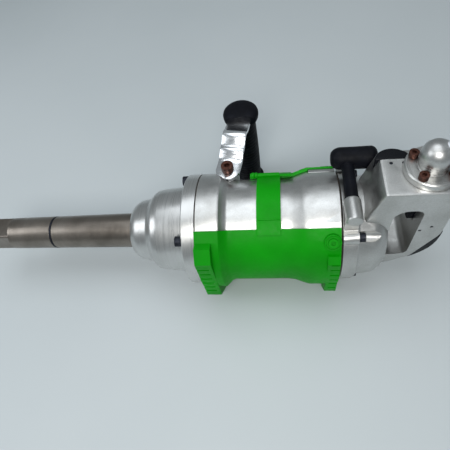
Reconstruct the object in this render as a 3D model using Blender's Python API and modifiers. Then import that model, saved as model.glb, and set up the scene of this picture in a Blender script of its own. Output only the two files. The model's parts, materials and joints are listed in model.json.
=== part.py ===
"""Pneumatic 1-inch impact wrench: long anvil, guarded air motor, D-handle and swinging side handle.

Origin at the centre of the square drive's end face, +X to the rear along the tool axis, +Z up.
All sizes are in millimetres and are scaled to metres when a mesh is made.
"""
import math

import bmesh
import bpy
from mathutils import Matrix, Vector

MM = 0.001
GAP = 0.3

# Driving dimensions
SQUARE = 25.4
ANVIL_FRONT_R = 16.9
ANVIL_REAR_R = 18.2
NOSE_X = 173.0
CASE_END_X = 246.0
GASKET = 0.6
HOUSING_X = CASE_END_X + GASKET + 2 * GAP
HOUSING_END_X = 377.0
BACKHEAD_X = HOUSING_END_X + GASKET + 2 * GAP
FLANGE_R = 56.0
BARREL_R = 48.5
FLARE_R = 53.8
MOTOR_BORE_R = 41.0
BASE_Z = -60.0
CASE_BOLT_CIRCLE_R = 50.0
REAR_BOLT_CIRCLE_R = 49.5
GRIP_X = 444.0
GRIP_REAR_X = 467.0
HANDLE_HALF_Y = 24.0
HANDLE_TOP_Z = 80.0
INLET_X = 446.0
BRANCH_TILT = 24
LEVER_X = 386.0
LEVER_Z = 58.5
KNOB_Y = 35.5
TRIGGER_Z = 33.0
SUPPLY_X = 459.5
PAD_TOP = Vector((467.4, 21.0))
PAD_LOW = Vector((446.5, -27.0))
SIDE_X = 273.0
SIDE_Y = 43.0
SIDE_GRIP = Vector((285.0, 108.0, 0.0))
LINER_SHIFT = 3.0
LINER_BORE_R = 33.0
ROTOR_R = 29.6
VANES = 6
MOTOR_X0, MOTOR_X1 = 258.5, 364.5
GUARD_X0, GUARD_X1 = 246.6, 376.4
GUARD_WALL = 3.5
NEAR_RIM, FAR_RIM = 34, 46
SCREW_ANGLE, SCREW_X = 46, 369.0
FINE, MEDIUM, COARSE = 40, 20, 10
BOLT_ANGLES = (45, 135, 225, 315)

TURN = {
    "X": Matrix.Rotation(math.pi / 2, 4, "Y"),
    "Y": Matrix.Rotation(-math.pi / 2, 4, "X"),
    "Z": Matrix.Identity(4),
}


# Scene and modelling helpers

def clear_scene():
    for leftover in list(bpy.data.objects):
        bpy.data.objects.remove(leftover, do_unlink=True)


def new_collection(name):
    made = bpy.data.collections.new(name)
    bpy.context.scene.collection.children.link(made)
    return made


def principled(name, colour, roughness, metallic):
    made = bpy.data.materials.new(name)
    made.use_nodes = True
    shader = made.node_tree.nodes["Principled BSDF"]
    shader.inputs["Base Color"].default_value = (*colour, 1.0)
    shader.inputs["Roughness"].default_value = roughness
    shader.inputs["Metallic"].default_value = metallic
    return made


clear_scene()
PARTS = new_collection("impact_wrench")
CUTTERS = new_collection("cutters")
ALUMINIUM = principled("cast_aluminium", (0.55, 0.55, 0.54), 0.35, 0.9)
STEEL = principled("machined_steel", (0.33, 0.30, 0.27), 0.35, 1.0)
DARK_STEEL = principled("black_screws", (0.02, 0.02, 0.025), 0.45, 0.6)
BROWN_STEEL = principled("brown_screws", (0.10, 0.04, 0.03), 0.45, 0.7)
RUBBER = principled("black_rubber", (0.012, 0.014, 0.018), 0.75, 0.0)
GREEN = principled("green_guard", (0.01, 0.30, 0.01), 0.45, 0.0)
WHITE = principled("white_fitting", (0.75, 0.78, 0.80), 0.4, 0.0)
PAPER = principled("gasket_paper", (0.05, 0.04, 0.03), 0.9, 0.0)
BRASS = principled("bushing_bronze", (0.45, 0.30, 0.12), 0.4, 1.0)


def add_mesh(name, bm, material=None):
    """Make an object from a bmesh; one without a material is a tool for Booleans."""
    bmesh.ops.recalc_face_normals(bm, faces=bm.faces)
    mesh = bpy.data.meshes.new(name)
    bm.to_mesh(mesh)
    bm.free()
    return place(name, mesh, material)


def place(name, mesh, material):
    made = bpy.data.objects.new(name, mesh)
    if material is None:
        CUTTERS.objects.link(made)
        made.hide_render = True
        made.display_type = "WIRE"
    else:
        PARTS.objects.link(made)
        mesh.materials.append(material)
    return made


def box(name, low, high, material=None):
    low, high = Vector(low) * MM, Vector(high) * MM
    bm = bmesh.new()
    size = Matrix.Diagonal((*(high - low), 1.0))
    bmesh.ops.create_cube(bm, size=1.0, matrix=Matrix.Translation((low + high) / 2) @ size)
    return add_mesh(name, bm, material)


def add_rod(bm, start, end, radius, steps, radius_end=None):
    """A cylinder or cone between two points, as one closed body in the bmesh."""
    start, end = Vector(start) * MM, Vector(end) * MM
    way = end - start
    turn = way.to_track_quat("Z", "Y").to_matrix().to_4x4()
    bmesh.ops.create_cone(
        bm, cap_ends=True, segments=steps, radius1=radius * MM,
        radius2=(radius if radius_end is None else radius_end) * MM, depth=way.length,
        matrix=Matrix.Translation((start + end) / 2) @ turn)


def rod(name, start, end, radius, material=None, steps=MEDIUM, radius_end=None):
    bm = bmesh.new()
    add_rod(bm, start, end, radius, steps, radius_end)
    return add_mesh(name, bm, material)


def turned(name, profile, material=None, steps=FINE, axis="X", at=(0, 0, 0)):
    """A profile of (along, radius) points turned about an axis with a Screw modifier."""
    area = sum(a[1] * b[0] - b[1] * a[0] for a, b in zip(profile, profile[1:] + profile[:1]))
    points = profile if area < 0 else profile[::-1]
    bm = bmesh.new()
    corners = [bm.verts.new((radius * MM, 0.0, along * MM)) for along, radius in points]
    for first, second in zip(corners, corners[1:] + corners[:1]):
        if first.co.x > 0 or second.co.x > 0:
            bm.edges.new((first, second))
    mesh = bpy.data.meshes.new(name)
    bm.to_mesh(mesh)
    bm.free()
    made = place(name, mesh, material)
    made.matrix_world = Matrix.Translation(Vector(at) * MM) @ TURN[axis]
    screw = made.modifiers.new("turn", "SCREW")
    screw.steps = steps
    screw.render_steps = steps
    screw.use_merge_vertices = True
    screw.merge_threshold = 0.00001
    return made


def prism(name, outline, low, high, axis="Y", material=None):
    """An outline extruded along an axis: (x, z) points along Y, (x, y) along Z, (y, z) along X."""
    spots = {"Y": lambda a, b: (a, low, b), "Z": lambda a, b: (a, b, low), "X": lambda a, b: (low, a, b)}
    way = {"Y": (0, 1, 0), "Z": (0, 0, 1), "X": (1, 0, 0)}[axis]
    bm = bmesh.new()
    face = bm.faces.new([bm.verts.new(Vector(spots[axis](a, b)) * MM) for a, b in outline])
    side = bmesh.ops.extrude_face_region(bm, geom=[face])["geom"]
    moved = [item for item in side if isinstance(item, bmesh.types.BMVert)]
    bmesh.ops.translate(bm, verts=moved, vec=Vector(way) * (high - low) * MM)
    return add_mesh(name, bm, material)


def combine(piece, tool, operation):
    boolean = piece.modifiers.new(tool.name, "BOOLEAN")
    boolean.operation = operation
    boolean.solver = "EXACT"
    boolean.object = tool
    return piece


def cut(piece, *tools):
    for tool in tools:
        combine(piece, tool, "DIFFERENCE")
    return piece


def join(piece, *tools):
    for tool in tools:
        combine(piece, tool, "UNION")
    return piece


def bevel(piece, width, segments=2, angle=40):
    rounded = piece.modifiers.new("rounded", "BEVEL")
    rounded.width = width * MM
    rounded.segments = segments
    rounded.limit_method = "ANGLE"
    rounded.angle_limit = math.radians(angle)
    rounded.use_clamp_overlap = True
    return piece


def ring(name, x0, x1, inner, outer, material=None, steps=FINE):
    return turned(name, [(x0, inner), (x0, outer), (x1, outer), (x1, inner)], material, steps)


def around(radius, degrees, x=0.0):
    """A point at an angle from straight up, turning towards -Y."""
    angle = math.radians(degrees)
    return (x, -radius * math.sin(angle), radius * math.cos(angle))


def bolt_lines(circle, x0, x1):
    """The lines of four bolts on a circle about the tool's axis."""
    return [(around(circle, angle, x0), around(circle, angle, x1)) for angle in BOLT_ANGLES]


def drill(name, spots, radius, steps=COARSE):
    """One cutter holding a separate cylinder for each (start, end) pair."""
    bm = bmesh.new()
    for start, end in spots:
        add_rod(bm, start, end, radius, steps)
    return add_mesh(name, bm)


def arc(centre, radius, start, end, count):
    """Points on an arc in a plane, with angles in degrees from the first axis."""
    for step in range(count + 1):
        angle = math.radians(start + (end - start) * step / count)
        yield (centre[0] + radius * math.cos(angle), centre[1] + radius * math.sin(angle))


def socket_screw(name, seat, way, length, shank, head, height, material):
    """A socket-head screw: seat is the point under its head, way points from the seat to the tip."""
    seat, way = Vector(seat), Vector(way).normalized()
    screw = rod(name, seat - way * height, seat, head, material, steps=14)
    join(screw, rod(name + "_shank", seat - way, seat + way * length, shank, steps=8))
    cut(screw, rod(name + "_socket", seat - way * (height + 1), seat - way * height * 0.4, head * 0.5, steps=6))
    return screw


# Front end: anvil, its bearings and the hammer case

def anvil():
    """Square drive, long shaft and the two striking lobes inside the hammers."""
    shaft = turned("anvil", [
        (0, 0), (0, ANVIL_FRONT_R - 1.5), (1.5, ANVIL_FRONT_R), (33, ANVIL_FRONT_R), (36, ANVIL_FRONT_R + 0.1),
        (79, 17.3), (79, 16.2), (81.5, 16.2), (81.5, 17.3), (168, ANVIL_REAR_R), (208, ANVIL_REAR_R),
        (208, 14), (240, 14), (240, 0)], STEEL, steps=32)
    half, reach, flats_end = SQUARE / 2, 20, 30
    for name, low_a, high_a in (("flats_y", (-1, -reach, -reach), (flats_end, -half, reach)),
                                ("flats_z", (-1, -reach, -reach), (flats_end, reach, -half))):
        first = box(name + "_low", low_a, high_a)
        low_b = (-1, half, -reach) if name == "flats_y" else (-1, -reach, half)
        cut(shaft, first, box(name + "_high", low_b, (flats_end, reach, reach)))
    join(shaft, box("lobe", (212, -3.5, -16.6), (236, 3.5, 16.6)))
    return shaft


def front_end():
    anvil()
    ring("retaining_ring", 79.3, 81.2, 16.5, 17.5, DARK_STEEL, 24)
    ring("nose_seal", NOSE_X + 0.5, NOSE_X + 3, ANVIL_REAR_R + GAP, 22, RUBBER, 28)
    ring("anvil_bushing", NOSE_X + 3.4, 202, ANVIL_REAR_R + GAP, 22.7, BRASS, 20)
    case = turned("hammer_case", [
        (NOSE_X, 23.2), (NOSE_X, 25.5), (175, 27.5), (178, 29.8), (182, 31.5), (191, 33), (193.5, 34.5),
        (196.5, 38.5), (200, 41), (206, 42.2), (230, 44), (232.3, 46), (233, 50), (233, FLANGE_R - 1),
        (234, FLANGE_R), (CASE_END_X, FLANGE_R), (CASE_END_X, 39), (205, 37.5), (203.3, 36), (202.5, 23.2)],
        ALUMINIUM)
    spots = bolt_lines(CASE_BOLT_CIRCLE_R, 230, 250)
    cut(case, drill("case_holes", spots, 3.4))
    cut(case, drill("case_spot_faces", bolt_lines(CASE_BOLT_CIRCLE_R, 230, 233.6), 6.2))
    gasket = ring("case_gasket", CASE_END_X + GAP, CASE_END_X + GAP + GASKET, 40, FLANGE_R - 0.5, PAPER, 24)
    cut(gasket, drill("gasket_holes", spots, 3.4))
    for number, angle in enumerate(BOLT_ANGLES, 1):
        seat = around(CASE_BOLT_CIRCLE_R, angle, 233.3)
        socket_screw(f"case_bolt_{number}", seat, (1, 0, 0), 26, 3.0, 5.0, 6.5, DARK_STEEL)


# Twin-hammer impact mechanism

def hammer(name, x0, x1):
    """A hammer ring hung on one pin and slotted for the other."""
    body = ring(name, x0, x1, 18, 33.5, STEEL, 24)
    cut(body, box(name + "_top", (x0 - 1, -40, 27), (x1 + 1, 40, 40)))
    cut(body, box(name + "_bottom", (x0 - 1, -40, -40), (x1 + 1, 40, -27)))
    cut(body, drill(name + "_pins", [((x0 - 1, y, 0), (x1 + 1, y, 0)) for y in (-28, 28)], 3.9))
    return body


def impact_mechanism():
    cage = ring("hammer_cage", 208.6, 211.4, 19, 34.5, STEEL, 24)
    join(cage, ring("cage_rear_plate", 237.6, 243, 15, 34.5, steps=24))
    join(cage, ring("cage_hub", 242, 250, 11.5, 16.8, steps=16))
    for side in (-1, 1):
        low, high = sorted((27.6 * side, 32.6 * side))
        join(cage, box("cage_web", (210, -9, low), (240, 9, high)))
    holes = [((207, y, 0), (244, y, 0)) for y in (-28, 28)]
    cut(cage, drill("cage_pin_holes", holes, 3.6))
    hammer("hammer_front", 211.8, 224.2)
    hammer("hammer_rear", 224.8, 237.2)
    for name, y in (("hammer_pin_left", -28), ("hammer_pin_right", 28)):
        rod(name, (208.8, y, 0), (242.8, y, 0), 3.2, STEEL, COARSE)


# Air motor and its housing

def housing():
    """Barrel with a bolting flange in front, a flared rear end and two lugs for the side handle."""
    barrel = turned("motor_housing", [
        (HOUSING_X, MOTOR_BORE_R), (HOUSING_X, FLANGE_R), (266, FLANGE_R), (268.5, 55), (270.5, 52),
        (273, 49.5), (276.5, BARREL_R), (330, BARREL_R), (337, 49.3), (344, 51.8), (350, FLARE_R),
        (HOUSING_END_X, FLARE_R), (HOUSING_END_X, MOTOR_BORE_R)], ALUMINIUM)
    lugs = bmesh.new()
    for z in (-1, 1):
        add_rod(lugs, (SIDE_X, SIDE_Y, 18 * z), (SIDE_X, SIDE_Y, 36 * z), 10.5, 16)
    join(barrel, add_mesh("handle_lugs", lugs))
    join(barrel, drill("corner_lobes", bolt_lines(REAR_BOLT_CIRCLE_R, 352, HOUSING_END_X - 0.4), 6.5, 14))
    cut(barrel, rod("motor_bore", (HOUSING_X - 5, 0, 0), (HOUSING_END_X + 5, 0, 0), MOTOR_BORE_R, steps=FINE))
    cut(barrel, drill("lug_bores", [((SIDE_X, SIDE_Y, z * 12), (SIDE_X, SIDE_Y, z * 40)) for z in (-1, 1)], 3.8))
    cut(barrel, drill("leg_room", [((SIDE_X, SIDE_Y, z * 36.3), (SIDE_X, SIDE_Y, z * 62)) for z in (-1, 1)],
                      13.4, 20))
    cut(barrel, drill("front_threads", bolt_lines(CASE_BOLT_CIRCLE_R, 245, 261.4), 3.4))
    cut(barrel, drill("rear_threads", bolt_lines(REAR_BOLT_CIRCLE_R, 372, 380), 2.9))
    screw_line = (around(47, SCREW_ANGLE, SCREW_X), around(58, SCREW_ANGLE, SCREW_X))
    cut(barrel, rod("guard_thread", *screw_line, 2.5, steps=COARSE))


def motor():
    ring("front_end_plate", 251.5, MOTOR_X0 - 0.5, 17, MOTOR_BORE_R - GAP, STEEL, 24)
    ring("rear_end_plate", MOTOR_X1 + 0.5, 372, 17, MOTOR_BORE_R - GAP, STEEL, 24)
    ring("front_bearing", 251.7, 257.5, 10.9, 16.7, STEEL, 16)
    ring("rear_bearing", 365.5, 371.8, 10.9, 16.7, STEEL, 16)
    liner = rod("cylinder_liner", (MOTOR_X0 - 0.2, 0, 0), (MOTOR_X1 + 0.2, 0, 0), MOTOR_BORE_R - GAP,
                STEEL, steps=24)
    cut(liner, rod("liner_bore", (MOTOR_X0 - 5, 0, LINER_SHIFT), (MOTOR_X1 + 5, 0, LINER_SHIFT), LINER_BORE_R,
                   steps=24))
    body = turned("rotor", [
        (243.4, 0), (243.4, 10.5), (MOTOR_X0 + 0.4, 10.5), (MOTOR_X0 + 0.4, ROTOR_R), (MOTOR_X1 - 0.4, ROTOR_R),
        (MOTOR_X1 - 0.4, 10.5), (374, 10.5), (374, 0)], STEEL, 24)
    slot_low, slot_high = Vector((MOTOR_X0, -2.0, 17)), Vector((MOTOR_X1, 2.0, 40))
    vane_low, vane_high = Vector((MOTOR_X0 + 0.8, -1.6, 17.6)), Vector((MOTOR_X1 - 0.8, 1.6, ROTOR_R - 0.2))
    for number in range(VANES):
        turn = Matrix.Rotation(math.tau * number / VANES, 4, "X")
        slot = box(f"vane_slot_{number + 1}", slot_low, slot_high)
        slot.matrix_world = turn
        cut(body, slot)
        vane = box(f"vane_{number + 1}", vane_low, vane_high, PAPER)
        vane.matrix_world = turn


# Backhead with the D-handle, its trigger and valve

def top_pad_outline(chord_y, grow=0.0):
    """A half-moon in plan, flat towards the middle of the arm."""
    reach = 12.0 + grow
    return [(419 - (14 + grow) * math.cos(turn), chord_y - grow + reach * math.sin(turn))
            for turn in (math.pi * step / 12 for step in range(13))]


def backhead():
    """Rear cover, exhaust chamber, D-handle and the boss of the reverse lever, as one casting."""
    casting = turned("backhead", [
        (BACKHEAD_X, 0), (BACKHEAD_X, 51), (379, 51.8), (391.3, 51.8), (392.3, 50.8), (392.3, 49.2),
        (394, 48.3), (406, 47.4), (411, 45), (415.5, 41.5), (419.5, 36), (419.5, 0)], ALUMINIUM)
    outline = [(397.3, -43.6), (397.3, 44), (401, 56), (404.5, 67), (408.5, 80), (461, 80), (465, 76), (467, 60),
               (467, 4), (462.5, -9.5), (455.5, -19), (443, -28.5), (429, -36.5), (404, -45)]
    handle = prism("d_handle", outline[::-1], -HANDLE_HALF_Y, HANDLE_HALF_Y)
    join(casting, bevel(handle, 2.5, 2, 20))
    join(casting, drill("cover_lobes", bolt_lines(REAR_BOLT_CIRCLE_R, BACKHEAD_X + 0.4, 391.9), 6.5, 14))
    boss = rod("lever_boss", (LEVER_X, -34.5, LEVER_Z), (LEVER_X, -11, LEVER_Z), 7.4)
    join(casting, bevel(boss, 2.2, 2, 60))
    join(casting, box("lever_web", (379.2, -31.4, 36), (391.2, -13.6, LEVER_Z)))
    opening = [(420, -14.5), (420, 48), (424, 54), (430, 57), (440, 57), (GRIP_X, 53), (GRIP_X, -13),
               (441, -17), (432, -18.8), (425, -19)]
    cut(casting, bevel(prism("finger_opening", opening[::-1], -40, 40), 2.5, 2, 20))
    cut(casting, rod("exhaust_chamber", (370, 0, 0), (399, 0, 0), 36, steps=20))
    cut(casting, rod("lever_bore", (LEVER_X, -31.3, LEVER_Z), (LEVER_X, 5, LEVER_Z), 4.5, steps=16))
    cut(casting, rod("inlet_bore", (INLET_X, 0, 62), (INLET_X, 0, 90), 7.0, steps=20))
    cut(casting, rod("supply_link", (INLET_X, 0, 68), (SUPPLY_X, 0, 68), 4.6, steps=16))
    cut(casting, rod("supply_bore", (SUPPLY_X, 0, 24), (SUPPLY_X, 0, 69), 5.0, steps=12))
    cut(casting, rod("valve_chamber", (454.5, 0, TRIGGER_Z), (464.8, 0, TRIGGER_Z), 4.8, steps=16))
    cut(casting, box("trigger_pocket", (438, -9.5, 19.5), (452.2, 9.5, 46.5)))
    cut(casting, rod("valve_bore", (451, 0, TRIGGER_Z), (456, 0, TRIGGER_Z), 3.0, steps=14))
    cut(casting, drill("cover_holes", bolt_lines(REAR_BOLT_CIRCLE_R, 375, 396), 2.9))
    cut(casting, drill("bolt_recesses", bolt_lines(REAR_BOLT_CIRCLE_R, 392.1, 420), 5.3, 13))
    cut(casting, drill("inlet_threads", [((x, y, 66), (x, y, 84)) for x, y in inlet_bolt_spots()], 2.8))
    pins = [((x, 9.5, 77), (x, 9.5, 83)) for x in (417, 427)]
    pins += [((x, -22, z), (x, -27, z)) for x, z in ((446.5, 25.5), (455, 31.5))]
    cut(casting, drill("pin_holes", pins, 1.5))
    cut(casting, prism("top_pad_seat", top_pad_outline(14, 0.35), 61.6, 90, "Z"))
    way = (PAD_LOW - PAD_TOP).normalized()
    inward = Vector((way.y, -way.x)) * 0.4
    high, low = PAD_TOP + inward - way * 6, PAD_LOW + inward + way * 6
    corner = [high, (490, high.y), (490, -60), (low.x, -60), low]
    return cut(casting, prism("rear_pad_seat", [tuple(spot) for spot in corner], -40, 40))


def rear_end():
    backhead()
    gasket = ring("backhead_gasket", HOUSING_END_X + GAP, HOUSING_END_X + GAP + GASKET, 42, 53, PAPER, 24)
    cut(gasket, drill("rear_gasket_holes", bolt_lines(REAR_BOLT_CIRCLE_R, 375, 380), 2.9))
    for number, angle in enumerate(BOLT_ANGLES, 1):
        seat = around(REAR_BOLT_CIRCLE_R, angle, 392.6)
        socket_screw(f"backhead_bolt_{number}", seat, (-1, 0, 0), 19, 2.6, 4.3, 5.0, DARK_STEEL)
    prism("top_pad", top_pad_outline(14), 62, 79.9, "Z", RUBBER)
    pad = [tuple(PAD_TOP), tuple(PAD_LOW), (455.8, -19.6), (463.1, -9.6), (467.6, 4)]
    prism("rear_pad", pad, -HANDLE_HALF_Y + 1, HANDLE_HALF_Y - 1, "Y", RUBBER)


def trigger_and_valve():
    blade = [(438.5, 21), (436.8, 27), (436.5, 34), (437.5, 40), (440, 45.5), (446, 45.5), (446, 21)]
    bevel(prism("trigger", blade, -8.5, 8.5, "Y", RUBBER), 1.2, 2, 50)
    valve = rod("throttle_valve", (446.4, 0, TRIGGER_Z), (455.6, 0, TRIGGER_Z), 2.6, STEEL, COARSE)
    join(valve, rod("valve_head", (455.1, 0, TRIGGER_Z), (456.6, 0, TRIGGER_Z), 4.2, steps=16))
    coil("throttle_spring", (457.4, 0, TRIGGER_Z), (464.1, 0, TRIGGER_Z), 3.2, 0.4, 4)


def coil(name, start, end, radius, wire, turns):
    """A helical wire along X, as a poly curve with filled caps."""
    curve = bpy.data.curves.new(name, "CURVE")
    curve.dimensions = "3D"
    curve.bevel_depth = wire * MM
    curve.bevel_resolution = 1
    curve.use_fill_caps = True
    spots = turns * 10 + 1
    line = curve.splines.new("POLY")
    line.points.add(spots - 1)
    for number in range(spots):
        share = number / (spots - 1)
        turn = math.tau * turns * share
        spot = Vector(start).lerp(Vector(end), share)
        spot += Vector((0, math.cos(turn), math.sin(turn))) * radius
        line.points[number].co = (*(spot * MM), 1.0)
    made = bpy.data.objects.new(name, curve)
    PARTS.objects.link(made)
    curve.materials.append(STEEL)
    return made


# Air inlet and reverse lever

def inlet_bolt_spots():
    for angle in (53, 143, 233, 323):
        turn = math.radians(angle)
        yield INLET_X + 16.6 * math.cos(turn), 16.6 * math.sin(turn)


def inlet():
    flange = turned("inlet_flange", [
        (HANDLE_TOP_Z + GAP, 7), (HANDLE_TOP_Z + GAP, 21.5), (86, 21.5), (87, 20.5), (87, 12.2), (88, 11.6),
        (95, 11.6), (95, 8.3), (89.5, 8.3), (89.5, 7)], ALUMINIUM, 32, "Z", (INLET_X, 0, 0))
    spots = list(inlet_bolt_spots())
    cut(flange, drill("flange_holes", [((x, y, 75), (x, y, 95)) for x, y in spots], 2.9))
    for number, (x, y) in enumerate(spots, 1):
        socket_screw(f"inlet_bolt_{number}", (x, y, 87.3), (0, 0, -1), 18, 2.5, 4.0, 5.0, BROWN_STEEL)
    elbow = turned("swivel_elbow", [
        (89.9, 0), (89.9, 7.9), (95.4, 7.9), (95.4, 12.2), (100, 12.6), (104.5, 11.4), (108, 8.8), (110.2, 4.8),
        (110.8, 0)], ALUMINIUM, 24, "Z", (INLET_X, 0, 0))
    tilt = math.radians(BRANCH_TILT)
    branch = Vector((math.cos(tilt), 0, math.sin(tilt)))
    heart = Vector((INLET_X, 0, 102.5))
    cut(elbow, rod("elbow_throat", (INLET_X, 0, 85), (INLET_X, 0, 102), 5, steps=16))
    cut(elbow, rod("elbow_way", heart, heart + branch * 30, 5.6, steps=16))
    cut(elbow, rod("elbow_face", heart + branch * 9.5, heart + branch * 40, 25))
    plug = rod("inlet_fitting", heart + branch * 6, heart + branch * 20, 5.3, WHITE, 20)
    join(plug, rod("fitting_hex", heart + branch * 9.8, heart + branch * 19, 10.6, steps=6))
    join(plug, rod("fitting_nose", heart + branch * 18.5, heart + branch * 35, 7.6, radius_end=6.0))
    cut(plug, rod("fitting_bore", heart, heart + branch * 40, 3.6, steps=16))


def reverse_lever():
    z = LEVER_Z
    stem = rod("reverse_spindle", (LEVER_X, -30.9, z), (LEVER_X, -5, z), 4.2, RUBBER, 16)
    join(stem, rod("lever_stem", (LEVER_X, -10.6, z), (LEVER_X, KNOB_Y - 2, z), 5.75))
    knob_profile = [(-14.5, 0), (-13.9, 4.5), (-11.7, 8), (-8, 10), (-4, 10.4), (20, 10.4), (23.8, 9.4),
                    (26, 6.8), (26.7, 4), (26.7, 0)]
    knob = turned("reverse_knob", knob_profile, RUBBER, 24, "X", (LEVER_X, KNOB_Y, z))
    cut(knob, rod("knob_bore", (LEVER_X, 15, z), (LEVER_X, KNOB_Y - 1.6, z), 6.1, steps=20))


# Side handle

def side_handle():
    """Two bowed legs pinned to the lugs, with a rubber grip on a rod between their ends."""
    line = [Vector(spot) for spot in ((28, 39.1), (54, 39.1), (60, 41), (66, 46), (72, 50.8), (78, 52.8),
                                      (83.5, 51.9), (88, 50), (124, 50))]
    half = 2.4
    for name, side in (("upper", 1), ("lower", -1)):
        edges = ([], [])
        for number, spot in enumerate(line):
            before = line[max(number - 1, 0)]
            after = line[min(number + 1, len(line) - 1)]
            way = (after - before).normalized()
            across = Vector((-way.y, way.x)) * half
            for edge, sign in zip(edges, (1, -1)):
                point = spot + across * sign
                edge.append((point.x, point.y * side))
        leg = prism(f"handle_leg_{name}", edges[0] + edges[1][::-1], 240, 320, "X", ALUMINIUM)
        lean = math.degrees(math.atan2(SIDE_GRIP.y - SIDE_Y, SIDE_GRIP.x - SIDE_X))
        plan = list(arc((SIDE_X, SIDE_Y), 12.5, lean + 90, lean + 270, 12))
        plan += list(arc((SIDE_GRIP.x, SIDE_GRIP.y), 12.5, lean - 90, lean + 90, 12))
        combine(leg, prism(f"leg_plan_{name}", plan, -70, 70, "Z"), "INTERSECT")
        cut(leg, rod(f"leg_eye_{name}", (SIDE_X, SIDE_Y, 20 * side), (SIDE_X, SIDE_Y, 60 * side), 3.9, steps=16))
        spot = Vector((SIDE_GRIP.x, SIDE_GRIP.y, 0))
        up = Vector((0, 0, side))
        cut(leg, rod(f"leg_end_eye_{name}", spot + up * 40, spot + up * 60, 4.4, steps=16))
        socket_screw(f"handle_bolt_{name}", (SIDE_X, SIDE_Y, 41.9 * side), -up, 20, 3.5, 6.2, 6.5, BROWN_STEEL)
        profile = [(52.8, 0), (52.8, 18.2), (54.5, 18.8), (57, 18), (59, 15), (59.7, 10), (59.7, 0)]
        cap = turned(f"grip_cap_{name}", [(along * side, r) for along, r in profile], RUBBER, 28, "Z", spot)
        cut(cap, rod(f"cap_bore_{name}", spot + up * 50, spot + up * 57.3, 4.4, steps=16))
    turned("side_grip", [(-47.2, 4.4), (-47.2, 13.5), (-45, 15), (0, 15.6), (45, 15), (47.2, 13.5),
                         (47.2, 4.4)], RUBBER, 28, "Z", SIDE_GRIP)
    rod("grip_rod", SIDE_GRIP + Vector((0, 0, -57)), SIDE_GRIP + Vector((0, 0, 57)), 4.0, STEEL, 16)


# Green guard with its strap and screw

def guard_profile(wall):
    return [(GUARD_X0, 56.5 + wall), (268.6, 56.5 + wall), (271.5, 53.5 + wall), (274, 50.6 + wall),
            (278, 49.1 + wall),
            (330.5, 49.1 + wall), (337.5, 50 + wall), (344.5, 52.6 + wall), (350.5, 54.5 + wall),
            (GUARD_X1, 54.5 + wall)]


def guard():
    """A cradle of moulded plastic under the barrel, with two ribbed feet to each side."""
    outer = guard_profile(GUARD_WALL)
    shell = turned("guard", [(outer[0][0], 0)] + outer + [(outer[-1][0], 0)], GREEN)
    front_foot = [(12, -60), (-40, -60), (-60, -34), (-60, 34), (-50, 45), (0, 30), (12, 0)]
    rear_foot = [(40, -60), (-40, -60), (-57, -32), (-57, 25), (-52, 31), (0, 20), (50, 31), (57, 20), (57, -32)]
    join(shell, prism("front_foot", front_foot, GUARD_X0 + 0.5, 262, "X"))
    join(shell, prism("rear_foot", rear_foot, 365, GUARD_X1 - 0.5, "X"))
    join(shell, rod("screw_boss", around(50, SCREW_ANGLE, SCREW_X), around(61.5, SCREW_ANGLE, SCREW_X), 7.4))
    inner = guard_profile(0)
    inside = [(GUARD_X0 - 5, 0), (GUARD_X0 - 5, inner[0][1])] + inner[1:-1]
    inside += [(GUARD_X1 + 5, inner[-1][1]), (GUARD_X1 + 5, 0)]
    cut(shell, turned("guard_inside", inside, steps=42))
    near, far = math.radians(NEAR_RIM), math.radians(FAR_RIM)
    wedge = [(0.4, -1.5), (120 * math.sin(far), 120 * math.cos(far)), (0, 130),
             (-120 * math.sin(near), 120 * math.cos(near))]
    cut(shell, prism("guard_mouth", wedge, GUARD_X0 - 5, GUARD_X1 + 5, "X"))
    cut(shell, box("handle_gap", (GUARD_X0 - 5, 11, -80), (295, 90, 80)))
    cut(shell, box("base_plane", (GUARD_X0 - 5, -90, -90), (GUARD_X1 + 5, 90, BASE_Z)))
    cut(shell, drill("lobe_room", bolt_lines(REAR_BOLT_CIRCLE_R, 351.6, 385), 7.1, 15))
    cut(shell, rod("guard_hole", around(48, SCREW_ANGLE, SCREW_X), around(66, SCREW_ANGLE, SCREW_X), 2.5,
                   steps=COARSE))
    return cut(shell, foot_grooves())


def foot_grooves():
    """Cutters for the grooves across the two near feet."""
    bm = bmesh.new()
    for x0, x1, side_y in ((240, 258.5, -60), (368, 380, -57)):
        for number in range(6):
            z = 24 - 9.5 * number
            size = Matrix.Diagonal(((x1 - x0) * MM, 2.6 * MM, 2.2 * MM, 1.0))
            spot = Vector(((x0 + x1) / 2, side_y, z)) * MM
            bmesh.ops.create_cube(bm, size=1.0, matrix=Matrix.Translation(spot) @ size)
    return add_mesh("foot_grooves", bm)


def guard_strap():
    """A band over the barrel between the guard's rims, folded thicker where it meets the near one."""
    def at(radius, angle):
        return (radius * math.sin(math.radians(angle)), radius * math.cos(math.radians(angle)))

    top = [at(52.2, angle) for angle in range(45, -26, -5)]
    fold = [at(52.9, -25.8), at(52.9, -33.2)]
    inner = [at(49.2, angle) for angle in (-33.2, *range(-30, 46, 5))]
    strap = prism("guard_strap", top + fold + inner, 303, 325, "X", GREEN)
    join(strap, rod("strap_latch", (296, 33.4, 41.9), (324, 33.4, 41.9), 2.2, steps=12))
    seat = around(61.8, SCREW_ANGLE, SCREW_X)
    socket_screw("guard_screw", seat, around(-1, SCREW_ANGLE), 12, 2.0, 4.2, 2.6, GREEN)


front_end()
impact_mechanism()
housing()
motor()
rear_end()
trigger_and_valve()
inlet()
reverse_lever()
side_handle()
guard()
guard_strap()
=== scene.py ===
"""Looks for the impact wrench: materials, finish detail, soft grips, light and camera."""
import json
import math

import bmesh
import bpy
from mathutils import Matrix, Vector


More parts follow.
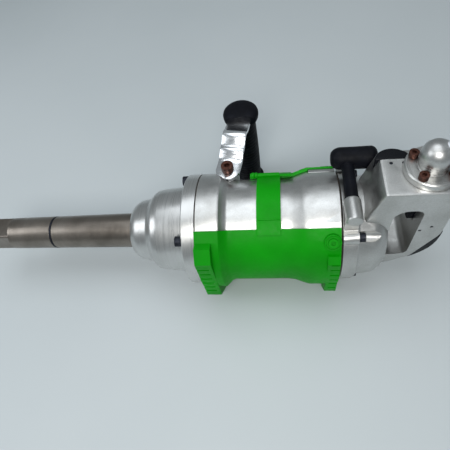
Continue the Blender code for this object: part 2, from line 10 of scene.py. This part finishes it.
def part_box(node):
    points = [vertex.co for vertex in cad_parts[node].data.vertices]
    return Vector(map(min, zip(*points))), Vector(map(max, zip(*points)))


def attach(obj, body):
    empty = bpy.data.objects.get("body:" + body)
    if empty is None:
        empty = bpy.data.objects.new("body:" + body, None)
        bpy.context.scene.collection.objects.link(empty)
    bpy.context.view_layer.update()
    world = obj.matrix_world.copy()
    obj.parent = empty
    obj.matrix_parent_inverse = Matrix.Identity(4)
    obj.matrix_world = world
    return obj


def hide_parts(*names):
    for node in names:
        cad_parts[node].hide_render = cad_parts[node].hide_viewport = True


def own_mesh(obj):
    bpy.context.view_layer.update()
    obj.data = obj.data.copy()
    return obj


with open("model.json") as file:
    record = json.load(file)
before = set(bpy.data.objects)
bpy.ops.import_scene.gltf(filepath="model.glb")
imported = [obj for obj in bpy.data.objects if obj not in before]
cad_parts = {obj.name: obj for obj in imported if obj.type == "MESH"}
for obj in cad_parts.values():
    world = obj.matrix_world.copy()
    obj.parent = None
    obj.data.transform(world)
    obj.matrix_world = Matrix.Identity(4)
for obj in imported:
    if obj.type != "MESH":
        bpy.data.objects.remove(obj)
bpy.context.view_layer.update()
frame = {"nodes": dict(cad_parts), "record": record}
NODES = frame["nodes"]
MM = 0.001
ROOT = "tool_body"

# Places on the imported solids, in mm and degrees
FLARE_R = 53.8
BOSS_END_Y = -11.0
SCREW_ANGLE = 46
SCREW_X = 369.0
SCREW_COLLAR_R = 61.4
STRAP_FRONT_X = 303.0
LATCH_SPOT = (33.4, 41.9)
HANDLE_PIVOT = Vector((273.0, 43.0, 0))
PAD_PINS = (((417, 9.5, 79.4), (0, 0, 1)), ((427, 9.5, 79.4), (0, 0, 1)),
            ((446.5, -23.5, 25.5), (0, -1, 0)), ((455, -23.5, 31.5), (0, -1, 0)))
LEG_HALF_WIDTH = 12.4
LEG_HALF_THICK = 2.3
LEG_EDGE = 0.7

# Camera and light, in metres
CAMERA_AWAY = Vector((0.1499, -0.5218, 0.8398))
CAMERA_RIGHT = Vector((0.9883, 0.0558, -0.1417))
CAMERA_TARGET = Vector((0.2619, 0.01925, -0.0257))
CAMERA_DISTANCE = 0.4545
CAMERA_LENS = 32.55
FLOOR_Z = -0.0605
LIGHT_TARGET = Vector((0.27, 0, 0))


# Materials: each is a material node tree of colour variation, roughness variation and, in all but
# polished_aluminium, fine relief

class Surface:
    """Builds one procedural material on object coordinates, in metres."""

    def __init__(self, name, metallic=0.0, specular=0.5):
        self.material = bpy.data.materials.new(name)
        self.material.use_nodes = True
        self.tree = self.material.node_tree
        self.shader = self.tree.nodes["Principled BSDF"]
        self.shader.inputs["Metallic"].default_value = metallic
        self.shader.inputs["Specular IOR Level"].default_value = specular
        self.place = self.add("ShaderNodeTexCoord").outputs["Object"]
        self.relief = None

    def add(self, kind, **settings):
        node = self.tree.nodes.new(kind)
        for key, value in settings.items():
            setattr(node, key, value)
        return node

    def link(self, source, target):
        self.tree.links.new(source, target)

    def stretched(self, scale):
        mapping = self.add("ShaderNodeMapping")
        mapping.inputs["Scale"].default_value = scale
        self.link(self.place, mapping.inputs["Vector"])
        return mapping.outputs["Vector"]

    def noise(self, scale, detail=4.0, stretch=None):
        node = self.add("ShaderNodeTexNoise")
        node.inputs["Scale"].default_value = scale
        node.inputs["Detail"].default_value = detail
        self.link(self.stretched(stretch) if stretch else self.place, node.inputs["Vector"])
        return node.outputs["Fac"]

    def dots(self, scale):
        node = self.add("ShaderNodeTexVoronoi")
        node.inputs["Scale"].default_value = scale
        node.inputs["Randomness"].default_value = 0.0
        self.link(self.place, node.inputs["Vector"])
        return node.outputs["Distance"]

    def ramp(self, source, stops):
        node = self.add("ShaderNodeValToRGB")
        first, last = node.color_ramp.elements
        first.position, first.color = stops[0][0], (*stops[0][1], 1)
        last.position, last.color = stops[-1][0], (*stops[-1][1], 1)
        for position, colour in stops[1:-1]:
            node.color_ramp.elements.new(position).color = (*colour, 1)
        self.link(source, node.inputs["Fac"])
        return node.outputs["Color"]

    def span(self, source, low, high):
        node = self.add("ShaderNodeMapRange")
        node.inputs["From Min"].default_value = 0.3
        node.inputs["From Max"].default_value = 0.7
        node.inputs["To Min"].default_value = low
        node.inputs["To Max"].default_value = high
        self.link(source, node.inputs["Value"])
        return node.outputs["Result"]

    def colour(self, source, stops):
        self.link(self.ramp(source, stops), self.shader.inputs["Base Color"])
        return self

    def mixed_colour(self, broad, fine, stops, fine_stops, share):
        mix = self.add("ShaderNodeMix", data_type="RGBA", blend_type="MULTIPLY")
        mix.inputs["Factor"].default_value = share
        self.link(self.ramp(broad, stops), mix.inputs["A"])
        self.link(self.ramp(fine, fine_stops), mix.inputs["B"])
        self.link(mix.outputs["Result"], self.shader.inputs["Base Color"])
        return self

    def roughness(self, source, low, high):
        self.link(self.span(source, low, high), self.shader.inputs["Roughness"])
        return self

    def bump(self, source, strength, distance):
        node = self.add("ShaderNodeBump")
        node.inputs["Strength"].default_value = strength
        node.inputs["Distance"].default_value = distance
        self.link(source, node.inputs["Height"])
        if self.relief:
            self.link(self.relief, node.inputs["Normal"])
        self.relief = node.outputs["Normal"]
        self.link(self.relief, self.shader.inputs["Normal"])
        return self


GREY_DUST = [(0.35, (0.80, 0.79, 0.77)), (0.65, (1.0, 1.0, 1.0))]


def cast_aluminium():
    look = Surface("cast_aluminium", metallic=1.0)
    look.mixed_colour(look.noise(28), look.noise(900),
                      [(0.3, (0.50, 0.50, 0.485)), (0.7, (0.66, 0.66, 0.65))], GREY_DUST, 0.5)
    look.roughness(look.noise(140), 0.30, 0.44)
    return look.bump(look.noise(1500, 3), 0.16, 0.0003).bump(look.noise(60, 2), 0.12, 0.0012).material


def turned_aluminium():
    """The front case is finish-turned, so it is smoother with faint rings round the axis."""
    look = Surface("turned_aluminium", metallic=1.0)
    rings = look.noise(1, 3, (2600, 6, 6))
    look.mixed_colour(look.noise(30), rings,
                      [(0.3, (0.56, 0.56, 0.55)), (0.7, (0.69, 0.69, 0.68))], GREY_DUST, 0.35)
    look.roughness(rings, 0.25, 0.38)
    return look.bump(rings, 0.10, 0.0002).bump(look.noise(900, 3), 0.06, 0.0003).material


def polished_aluminium():
    look = Surface("polished_aluminium", metallic=1.0)
    grain = look.noise(1, 2, (90, 500, 500))
    look.colour(grain, [(0.3, (0.72, 0.73, 0.75)), (0.7, (0.86, 0.87, 0.88))])
    return look.roughness(grain, 0.19, 0.25).material


def turned_steel(name, dark, light, rough):
    look = Surface(name, metallic=1.0)
    rings = look.noise(1, 4, (3200, 4, 4))
    look.mixed_colour(look.noise(35), rings, [(0.3, dark), (0.7, light)],
                      [(0.35, (0.72, 0.70, 0.68)), (0.65, (1, 1, 1))], 0.7)
    look.roughness(look.noise(1, 3, (900, 30, 30)), rough, rough + 0.14)
    return look.bump(rings, 0.16, 0.00025).material


def oxide_screw(name, dark, light):
    look = Surface(name, metallic=0.75)
    look.colour(look.noise(420), [(0.3, dark), (0.7, light)])
    look.roughness(look.noise(900), 0.34, 0.55)
    return look.bump(look.noise(1800, 2), 0.12, 0.0002).material


def green_plastic():
    look = Surface("green_plastic", specular=0.16)
    look.mixed_colour(look.noise(22), look.noise(700),
                      [(0.3, (0.0004, 0.235, 0.0004)), (0.7, (0.0006, 0.33, 0.0006))],
                      [(0.35, (0.88, 0.92, 0.85)), (0.65, (1, 1, 1))], 0.5)
    look.roughness(look.noise(260), 0.42, 0.58)
    return look.bump(look.noise(2400, 3), 0.12, 0.0002).material


def black_rubber():
    rough = 0.42
    look = Surface("black_rubber", specular=0.13)
    look.colour(look.noise(90), [(0.3, (0.0012, 0.0015, 0.0030)), (0.7, (0.0040, 0.0048, 0.0085))])
    look.roughness(look.noise(300), rough, rough + 0.18)
    return look.bump(look.noise(1700, 3), 0.2, 0.0003).material


def dotted_rubber():
    """Pads moulded with a close grid of points."""
    look = Surface("dotted_rubber", specular=0.22)
    grid = look.dots(620)
    look.colour(grid, [(0.15, (0.016, 0.018, 0.024)), (0.55, (0.0015, 0.002, 0.004))])
    look.roughness(look.noise(300), 0.45, 0.6)
    return look.bump(grid, -0.6, 0.0006).material


def white_fitting():
    look = Surface("white_fitting", specular=0.5)
    look.colour(look.noise(160), [(0.3, (0.62, 0.66, 0.69)), (0.7, (0.78, 0.80, 0.82))])
    look.roughness(look.noise(300), 0.28, 0.42)
    return look.bump(look.noise(1500, 2), 0.06, 0.0002).material


def fibre():
    look = Surface("gasket_and_vanes", specular=0.2)
    look.colour(look.noise(600), [(0.3, (0.03, 0.025, 0.02)), (0.7, (0.08, 0.065, 0.05))])
    look.roughness(look.noise(900), 0.75, 0.95)
    return look.bump(look.noise(2600, 3), 0.25, 0.0002).material


def bronze():
    look = Surface("bronze", metallic=1.0)
    look.colour(look.noise(300), [(0.3, (0.36, 0.22, 0.08)), (0.7, (0.52, 0.35, 0.15))])
    look.roughness(look.noise(900), 0.3, 0.45)
    return look.bump(look.noise(1800, 2), 0.12, 0.0002).material


LOOKS = {
    "cast_aluminium": cast_aluminium(),
    "turned_aluminium": turned_aluminium(),
    "polished_aluminium": polished_aluminium(),
    "machined_steel": turned_steel("machined_steel", (0.20, 0.175, 0.15), (0.33, 0.295, 0.26), 0.28),
    "bright_steel": turned_steel("bright_steel", (0.42, 0.42, 0.41), (0.58, 0.57, 0.56), 0.25),
    "black_screws": oxide_screw("black_screws", (0.010, 0.012, 0.018), (0.035, 0.038, 0.05)),
    "brown_screws": oxide_screw("brown_screws", (0.045, 0.018, 0.013), (0.13, 0.052, 0.036)),
    "green_plastic": green_plastic(),
    "black_rubber": black_rubber(),
    "dotted_rubber": dotted_rubber(),
    "white_fitting": white_fitting(),
    "gasket_and_vanes": fibre(),
    "bronze": bronze(),
}


# Carried-over CAD nodes: welded, edges broken by a small bevel, smooth between them

EDGE_MM = {"backhead": 0.5, "motor_housing": 0.45, "hammer_case": 0.45, "guard": 0.8, "guard_strap": 0.5,
           "anvil": 0.3, "trigger": 0.3}
TURNED = ("hammer_case",)


def finish_cad_nodes():
    slots = {part["node"]: part["material_slot"] for part in frame["record"]["subparts"]}
    for name, node in NODES.items():
        look = "turned_aluminium" if name in TURNED else slots[name]
        node.data.materials.clear()
        node.data.materials.append(LOOKS[look])
        soften(node, EDGE_MM.get(name, 0.2))


def soften(piece, width_mm):
    """Welds a node, breaks its edges with a small bevel and shades it smooth between them."""
    weld = piece.modifiers.new("weld", "WELD")
    weld.merge_threshold = 0.000002
    edge = piece.modifiers.new("edge", "BEVEL")
    edge.width = width_mm * MM
    edge.segments = 2
    edge.limit_method = "ANGLE"
    edge.angle_limit = math.radians(32)
    edge.harden_normals = False
    for face in piece.data.polygons:
        face.use_smooth = True
    normals = piece.modifiers.new("normals", "WEIGHTED_NORMAL")
    normals.keep_sharp = True


# Helpers for new pieces

def new_piece(name, bm, look, body, stands_for=(), smooth_angle=40):
    bmesh.ops.recalc_face_normals(bm, faces=bm.faces)
    mesh = bpy.data.meshes.new(name)
    bm.to_mesh(mesh)
    bm.free()
    mesh.shade_smooth()
    mesh.set_sharp_from_angle(angle=math.radians(smooth_angle))
    mesh.materials.append(LOOKS[look])
    piece = bpy.data.objects.new(name, mesh)
    bpy.context.scene.collection.objects.link(piece)
    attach(piece, body)
    if stands_for:
        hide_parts(*stands_for)
    return piece


def corners(node):
    """A node's lowest and highest corners, in mm."""
    low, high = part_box(node)
    return Vector(low) / MM, Vector(high) / MM


def middle(node):
    low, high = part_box(node)
    return (Vector(low) + Vector(high)) / 2 / MM


def bridge(bm, rows):
    """Faces between neighbouring rows of points, each row closed on itself."""
    for first, second in zip(rows, rows[1:]):
        for number in range(len(first)):
            after = (number + 1) % len(first)
            bm.faces.new((first[number], first[after], second[after], second[number]))


def close_ends(bm, rows):
    for last in (rows[0], rows[-1]):
        bm.faces.new(last)


def frame_at(centre, way):
    """A matrix whose local Z runs along way."""
    turn = Vector(way).normalized().to_track_quat("Z", "Y").to_matrix().to_4x4()
    return Matrix.Translation(Vector(centre) * MM) @ turn


def add_turned(bm, profile, matrix, steps=64, bump=None):
    """A closed skin turned from (along, radius) points in mm; bump may change the radius with the angle."""
    loops = []
    for along, radius in profile:
        if radius <= 0:
            loops.append([bm.verts.new(matrix @ Vector((0, 0, along * MM)))])
            continue
        ring = []
        for step in range(steps):
            turn = math.tau * step / steps
            reach = radius if bump is None else bump(along, radius, turn)
            spot = Vector((math.cos(turn) * reach, math.sin(turn) * reach, along))
            ring.append(bm.verts.new(matrix @ (spot * MM)))
        loops.append(ring)
    for first, second in zip(loops, loops[1:]):
        for step in range(steps):
            after = (step + 1) % steps
            corners = []
            for ring, spot in ((first, step), (first, after), (second, after), (second, step)):
                vert = ring[spot if len(ring) > 1 else 0]
                if vert not in corners:
                    corners.append(vert)
            if len(corners) > 2:
                bm.faces.new(corners)
    return bm


def add_tube_ring(bm, matrix, radius, thickness, steps=64, sides=8):
    """A fine raised ring, such as a casting or turning line."""
    rows = []
    for step in range(steps):
        turn = math.tau * step / steps
        out = Vector((math.cos(turn), math.sin(turn), 0))
        row = []
        for side in range(sides):
            angle = math.tau * side / sides
            spot = out * (radius + thickness * math.cos(angle)) + Vector((0, 0, thickness * math.sin(angle)))
            row.append(bm.verts.new(matrix @ (spot * MM)))
        rows.append(row)
    bridge(bm, rows + rows[:1])


# Side handle: ribbed rubber grip and hooded end caps

def side_grip():
    low, high = corners("side_grip")
    centre = (low + high) / 2
    half, widest, pitch, depth = (high.z - low.z) / 2, (high.x - low.x) / 2, 4.4, 0.55
    profile = [(-half, 0), (-half, 10), (-half, 13), (-half + 0.5, 14.2)]
    rows = 132
    for row in range(rows + 1):
        along = -half + 1.4 + (2 * half - 2.8) * row / rows
        swell = widest - 0.9 + 0.7 * math.cos(math.pi * along / (2 * half))
        groove = depth * max(0.0, math.cos(math.tau * along / pitch)) ** 6
        profile.append((along, swell - groove))
    profile += [(half - 0.5, 14.2), (half, 13), (half, 10), (half, 0)]
    bm = add_turned(bmesh.new(), profile, Matrix.Translation(centre * MM), 56)
    new_piece("side_grip_rubber", bm, "black_rubber", "side_handle", ["side_grip"], 60)


def grip_caps():
    """A domed hood, flat towards the tool, over each end of the grip and the end of its leg."""
    flat = 10.5

    def trimmed(along, radius, turn):
        return radius if math.sin(turn) >= 0 else min(radius, flat / max(-math.sin(turn), 1e-6))

    outline = [(47.4, 0), (47.4, 14.6), (47.6, 16.4), (48.4, 17.8), (50, 18.4), (52, 18.7), (54.3, 18.75),
               (55.8, 18.3), (57.1, 17.1), (58.2, 15.2), (59, 12.2), (59.5, 8), (59.7, 3.5), (59.7, 0)]
    for name, side in (("upper", 1), ("lower", -1)):
        centre = middle(f"grip_cap_{name}")
        matrix = Matrix.Translation(Vector((centre.x, centre.y, 0)) * MM) @ Matrix.Diagonal((1, 1, side, 1))
        bm = add_turned(bmesh.new(), outline, matrix, 72, trimmed)
        new_piece(f"grip_hood_{name}", bm, "black_rubber", "side_handle", [f"grip_cap_{name}"],
                  50)


# Reverse lever: a rounded rubber bar and a collar on its stem

def reverse_knob():
    low, high = corners("reverse_knob")
    centre = (low + high) / 2
    length, radius = (high.x - low.x) / 2, (high.z - low.z) / 2
    profile = [(-length, 0)]
    for step in range(1, 15):
        turn = math.pi / 2 * step / 14
        profile.append((-length + 9.5 * (1 - math.cos(turn)), radius * (0.35 + 0.65 * math.sin(turn))))
    for step in range(1, 9):
        waist = 0.12 * math.sin(math.pi * step / 9)
        profile.append((-length + 9.5 + (2 * length - 15.5) * step / 9, radius - waist))
    for step in range(14, 0, -1):
        turn = math.pi / 2 * step / 14
        profile.append((length - 6 * (1 - math.cos(turn)), radius * (0.45 + 0.55 * math.sin(turn))))
    profile.append((length, 0))
    bm = add_turned(bmesh.new(), profile, frame_at(centre, (1, 0, 0)), 56)
    new_piece("reverse_bar", bm, "black_rubber", "reverse_lever", ["reverse_knob"], 60)
    collar = bmesh.new()
    spindle = middle("reverse_spindle")
    for reach in (BOSS_END_Y + 1.4, low.y - 0.6):
        add_tube_ring(collar, frame_at((spindle.x, reach, spindle.z), (0, 1, 0)), 5.8, 0.5, 40)
    new_piece("stem_collars", collar, "black_rubber", "reverse_lever", (), 60)


# Dotted pads on the D-handle

def crowned_prism(outline, low, high, axis, crown):
    """An outline extruded along an axis, with its rims bevelled."""
    spots = {"Z": lambda a, b, c: (a, b, c), "Y": lambda a, b, c: (a, c, b)}[axis]
    bm = bmesh.new()
    face = bm.faces.new([bm.verts.new(Vector(spots(a, b, low)) * MM) for a, b in outline])
    made = bmesh.ops.extrude_face_region(bm, geom=[face])["geom"]
    way = Vector(spots(0, 0, high - low)) * MM
    moved = [item for item in made if isinstance(item, bmesh.types.BMVert)]
    bmesh.ops.translate(bm, verts=moved, vec=way)
    bmesh.ops.recalc_face_normals(bm, faces=bm.faces)
    bmesh.ops.bevel(bm, geom=list(bm.edges), offset=crown * MM, segments=3, affect="EDGES", profile=0.5)
    return bm


def add_stud(bm, spot, way, radius=0.62, height=0.55):
    """A small moulded point."""
    matrix = frame_at(spot, way)
    bmesh.ops.create_cone(bm, cap_ends=True, segments=8, radius1=radius * MM, radius2=radius * 0.45 * MM,
                          depth=height * MM, matrix=matrix)


def top_pad():
    low, high = corners("top_pad")
    centre_x, half, reach = (low.x + high.x) / 2, (high.x - low.x) / 2, high.y - low.y
    outline = [(centre_x - half * math.cos(turn), low.y + reach * math.sin(turn))
               for turn in (math.pi * step / 24 for step in range(25))]
    bm = crowned_prism(outline, low.z, high.z, "Z", 0.9)
    pitch = 2.1
    for row in range(6):
        for column in range(-6, 7):
            x = column * pitch + (row % 2) * pitch / 2
            y = 1.5 + row * pitch * 0.9
            if (x / (half - 1.2)) ** 2 + (y / (reach - 1.0)) ** 2 < 1:
                add_stud(bm, (centre_x + x, low.y + y, high.z - 0.1), (0, 0, 1))
    for row in range(7):
        for column in range(1, 14):
            turn = math.pi * (column + (row % 2) * 0.5) / 14
            spot = Vector((-half * math.cos(turn), reach * math.sin(turn), 0))
            out = Vector((-math.cos(turn) / half, math.sin(turn) / reach, 0)).normalized()
            spot = Vector((centre_x, low.y, high.z - 2.5 - row * 2.2)) + spot
            add_stud(bm, spot - out * 0.1, out)
    new_piece("top_pad_dotted", bm, "dotted_rubber", ROOT, ["top_pad"], 50)


def rear_pad():
    low, high = corners("rear_pad")
    rise, run = high.z - low.z, high.x - low.x
    shares = ((0, 0), (0.25, 0.07), (0.43, 0.15), (0.62, 0.255), (0.78, 0.37), (0.9, 0.51), (0.97, 0.66),
              (1, 0.83), (1, 1))
    heel = [Vector((low.x + run * a, low.z + rise * b)) for a, b in shares]
    bm = crowned_prism([tuple(spot) for spot in heel], low.y, high.y, "Y", 0.8)
    pitch = 2.3
    for first, second in zip(heel, heel[1:]):
        way = (second - first).normalized()
        out = Vector((way.y, 0, -way.x))
        count = max(1, int((second - first).length / pitch))
        for step in range(count):
            spot = first.lerp(second, (step + 0.5) / count)
            for column in range(-8, 9):
                y = column * 2.5 + (step % 2) * 1.2
                if low.y + 1.5 < y < high.y - 1.5:
                    add_stud(bm, Vector((spot.x, y, spot.y)) - out * 0.1, out)
    new_piece("rear_pad_dotted", bm, "dotted_rubber", ROOT, ["rear_pad"], 50)


# Casting and moulding detail

def inlet_lines():
    """Fine turning lines on the inlet flange and its collar."""
    centre = middle("inlet_flange")
    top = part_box("inlet_flange")[1][2] / MM
    bm = bmesh.new()
    for height, radius, thickness in ((87.0, 19.4, 0.22), (87.0, 17.9, 0.16), (top - 0.4, 11.7, 0.3),
                                      (top - 3, 11.65, 0.2), (88.0, 11.9, 0.5)):
        add_tube_ring(bm, frame_at((centre.x, 0, height), (0, 0, 1)), radius, thickness, 72)
    new_piece("inlet_turning_lines", bm, "bright_steel", ROOT, (), 60)


def housing_facets():
    """A cast triangular facet at the top rear of the barrel."""
    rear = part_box("motor_housing")[1][0] / MM
    bm = bmesh.new()

    def on_barrel(back, angle, lift):
        turn, radius = math.radians(angle), FLARE_R + lift
        return bm.verts.new(Vector((rear - back, -radius * math.sin(turn), radius * math.cos(turn))) * MM)

    tip, near, crest = on_barrel(15, 29, 0.05), on_barrel(0.5, 29, 1.5), on_barrel(0.5, 8, 0.05)
    deep = [on_barrel(15, 29, -1.2), on_barrel(0.5, 29, -1.2), on_barrel(0.5, 8, -1.2)]
    top = [tip, near, crest]
    bm.faces.new(top)
    bm.faces.new(deep)
    for number in range(3):
        after = (number + 1) % 3
        bm.faces.new((top[number], top[after], deep[after], deep[number]))
    bmesh.ops.recalc_face_normals(bm, faces=bm.faces)
    bmesh.ops.bevel(bm, geom=list(bm.edges), offset=0.35 * MM, segments=2, affect="EDGES")
    new_piece("barrel_facet", bm, "cast_aluminium", ROOT, (), 50)


def add_curved_plate(bm, x0, x1, radius, thickness, start, end, steps=10):
    """A plate bent round the tool's axis between two angles from straight up towards -Y."""
    rows = []
    for step in range(steps + 1):
        turn = math.radians(start + (end - start) * step / steps)
        out = Vector((0, -math.sin(turn), math.cos(turn)))
        rows.append([bm.verts.new((out * (radius + up * thickness) + Vector((x, 0, 0))) * MM)
                     for x, up in ((x0, 0), (x1, 0), (x1, 0.7), (x1 - 0.6, 1), (x0 + 0.6, 1), (x0, 0.7))])
    bridge(bm, rows)
    close_ends(bm, rows)


def strap_detail():
    """The strap's folded lap, its lip and its far end, with the latch knuckle beside it."""
    low, high = corners("guard_strap")
    strap_x0, strap_x1 = STRAP_FRONT_X, high.x
    bm = bmesh.new()
    add_curved_plate(bm, strap_x0, strap_x1, 51.6, 1.7, 27, 40, 14)
    add_curved_plate(bm, strap_x0 + 0.2, strap_x1 - 0.2, 51.8, 1.0, 23.5, 25.2, 2)
    add_curved_plate(bm, strap_x0 + 0.2, strap_x1 + 11, 52.3, 1.8, -52, -37)
    new_piece("strap_folds", bm, "green_plastic", ROOT, (), 40)
    latch = bmesh.new()
    matrix = frame_at((low.x + 1, *LATCH_SPOT), (1, 0, 0))
    knuckle = [(0, 0), (0, 2.2), (0.6, 2.9), (2.6, 2.9), (3.2, 2.3), (3.8, 2.9), (5.6, 2.9),
               (6.2, 2.2), (6.2, 0)]
    add_turned(latch, knuckle, matrix, 32)
    new_piece("latch_knuckle", latch, "green_plastic", ROOT, (), 40)


def guard_detail():
    """A moulded collar with four teeth round the guard's screw."""
    angle = math.radians(SCREW_ANGLE)
    out = Vector((0, -math.sin(angle), math.cos(angle)))
    matrix = frame_at(Vector((SCREW_X, 0, 0)) + out * SCREW_COLLAR_R, out)
    bm = bmesh.new()
    add_tube_ring(bm, matrix, 6.6, 0.75, 48)
    for number in range(4):
        turn = Matrix.Rotation(math.tau * number / 4 + 0.4, 4, "Z")
        spot = matrix @ turn @ Matrix.Translation(Vector((5.0, 0, 0)) * MM)
        size = Matrix.Diagonal((1.9 * MM, 0.9 * MM, 1.7 * MM, 1))
        bmesh.ops.create_cube(bm, size=1.0, matrix=spot @ size)
    new_piece("screw_boss_rings", bm, "green_plastic", ROOT, (), 60)


def smooth_line(spots, parts=8):
    """Points along a smooth line through the given (along, height) spots."""
    ends = [spots[0], *spots, spots[-1]]
    for before, first, second, after in zip(ends, ends[1:], ends[2:], ends[3:]):
        for part in range(parts):
            t = part / parts
            yield [0.5 * (2 * b + (c - a) * t + (2 * a - 5 * b + 4 * c - d) * t ** 2
                          + (3 * b - a - 3 * c + d) * t ** 3)
                   for a, b, c, d in zip(before, first, second, after)]
    yield list(spots[-1])


def handle_legs():
    """Polished strips, rounded at both ends, that roll twice between the tool and the grip."""
    tool_end, grip_end = HANDLE_PIVOT, middle("side_grip")
    way = Vector((grip_end.x - tool_end.x, grip_end.y - tool_end.y, 0))
    reach = way.length
    way.normalize()
    across = Vector((way.y, -way.x, 0))
    half_width, half_thick, edge = LEG_HALF_WIDTH, LEG_HALF_THICK, LEG_EDGE
    rise = [(-half_width, 39.1), (-4, 39.1), (6, 39.1), (12, 39.6), (17, 42.6), (21.5, 45.4), (25.5, 46.0),
            (29.5, 48.6), (34.5, 52.2), (39.5, 52.7), (44, 51.0), (49, 50.0), (56, 50.0),
            (reach + half_width, 50.0)]
    for name, side in (("upper", 1), ("lower", -1)):
        bm = bmesh.new()
        rows = []
        for along, height in smooth_line(rise):
            past = max(-along, along - reach, 0)
            wide = max(math.sqrt(max(half_width ** 2 - past ** 2, 0)), 1.0)
            section = [(-wide, 0), (-wide + edge * 0.3, half_thick - edge * 0.4), (-wide + edge, half_thick),
                       (0, half_thick), (wide - edge, half_thick),
                       (wide - edge * 0.3, half_thick - edge * 0.4), (wide, 0), (wide - edge, -half_thick),
                       (0, -half_thick), (-wide + edge, -half_thick)]
            rows.append([bm.verts.new((tool_end + way * along + across * over
                                       + Vector((0, 0, (height + lift) * side))) * MM)
                         for over, lift in section])
        bridge(bm, rows)
        close_ends(bm, rows)
        new_piece(f"leg_strip_{name}", bm, "polished_aluminium", "side_handle", [f"handle_leg_{name}"],
                  50)


def handle_detail():
    """Black roll pins in the holes of the two pads."""
    pins = bmesh.new()
    for spot, way in PAD_PINS:
        add_turned(pins, [(-2, 0), (-2, 1.35), (0, 1.35), (0.25, 1.1), (0.25, 0)], frame_at(spot, way), 20)
    new_piece("pad_pins", pins, "black_screws", ROOT, (), 40)


def throttle_spring():
    """The return spring behind the throttle valve, which the trigger squeezes in use; here it is built as a
    fixed coil.
    """
    low, high = corners("throttle_spring")
    centre = (low + high) / 2
    turns, wire, radius, steps, sides = 4, 0.4, 3.2, 30, 8
    first, last = low.x + wire, high.x - wire
    bm = bmesh.new()
    rows = []
    for step in range(turns * steps + 1):
        share = step / (turns * steps)
        turn = math.tau * turns * share
        out = Vector((0, math.cos(turn), math.sin(turn)))
        spot = Vector((first + (last - first) * share, centre.y, centre.z)) + out * radius
        angles = [math.tau * side / sides for side in range(sides)]
        rows.append([bm.verts.new((spot + out * wire * math.cos(angle)
                                   + Vector((wire * math.sin(angle), 0, 0))) * MM) for angle in angles])
    bridge(bm, rows)
    close_ends(bm, rows)
    piece = new_piece("valve_spring", bm, "bright_steel", ROOT, ["throttle_spring"], 60)
    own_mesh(piece)


# Floor, light and camera

def floor_and_light():
    floor_look = Surface("floor", specular=0.3)
    floor_look.colour(floor_look.noise(2.2), [(0.3, (0.50, 0.545, 0.56)), (0.7, (0.545, 0.585, 0.60))])
    floor_look.roughness(floor_look.noise(6), 0.45, 0.6)
    bpy.ops.mesh.primitive_plane_add(size=6, location=(0.25, 0, FLOOR_Z))
    floor = bpy.context.object
    floor.name = "floor"
    floor.data.materials.append(floor_look.material)
    world = bpy.data.worlds.new("studio")
    world.use_nodes = True
    world.node_tree.nodes["Background"].inputs["Color"].default_value = (0.80, 0.88, 0.92, 1)
    world.node_tree.nodes["Background"].inputs["Strength"].default_value = 0.31
    bpy.context.scene.world = world
    for name, place, power, width, colour in (
            ("key", (0.30, -0.75, 0.95), 7.6, 0.55, (1.0, 0.99, 0.97)),
            ("top", (0.20, 0.25, 1.25), 5.6, 1.0, (0.90, 0.95, 1.0)),
            ("side", (-0.7, -0.2, 0.7), 2.9, 0.6, (0.92, 0.96, 1.0))):
        lamp = bpy.data.lights.new(name, "AREA")
        lamp.energy = power
        lamp.size = width
        lamp.color = colour
        light = bpy.data.objects.new(name, lamp)
        light.location = place
        light.rotation_euler = (LIGHT_TARGET - Vector(place)).to_track_quat("-Z", "Y").to_euler()
        bpy.context.scene.collection.objects.link(light)


def camera():
    """A close view from above the tool's near side, rolled so that the tool lies nearly level."""
    away = CAMERA_AWAY.normalized()
    right = (CAMERA_RIGHT - away * CAMERA_RIGHT.dot(away)).normalized()
    up = away.cross(right)
    data = bpy.data.cameras.new("camera")
    data.lens = CAMERA_LENS
    data.sensor_width = 36.0
    made = bpy.data.objects.new("camera", data)
    turn = Matrix((right, up, away)).transposed().to_4x4()
    made.matrix_world = Matrix.Translation(CAMERA_TARGET + away * CAMERA_DISTANCE) @ turn
    bpy.context.scene.collection.objects.link(made)
    bpy.context.scene.camera = made


def plain_colours():
    """Keeps the materials' colours as they are set, without a film-like curve."""
    bpy.context.scene.view_settings.view_transform = "Standard"


finish_cad_nodes()
side_grip()
grip_caps()
reverse_knob()
top_pad()
rear_pad()
inlet_lines()
housing_facets()
strap_detail()
guard_detail()
handle_legs()
handle_detail()
throttle_spring()
floor_and_light()
camera()
plain_colours()
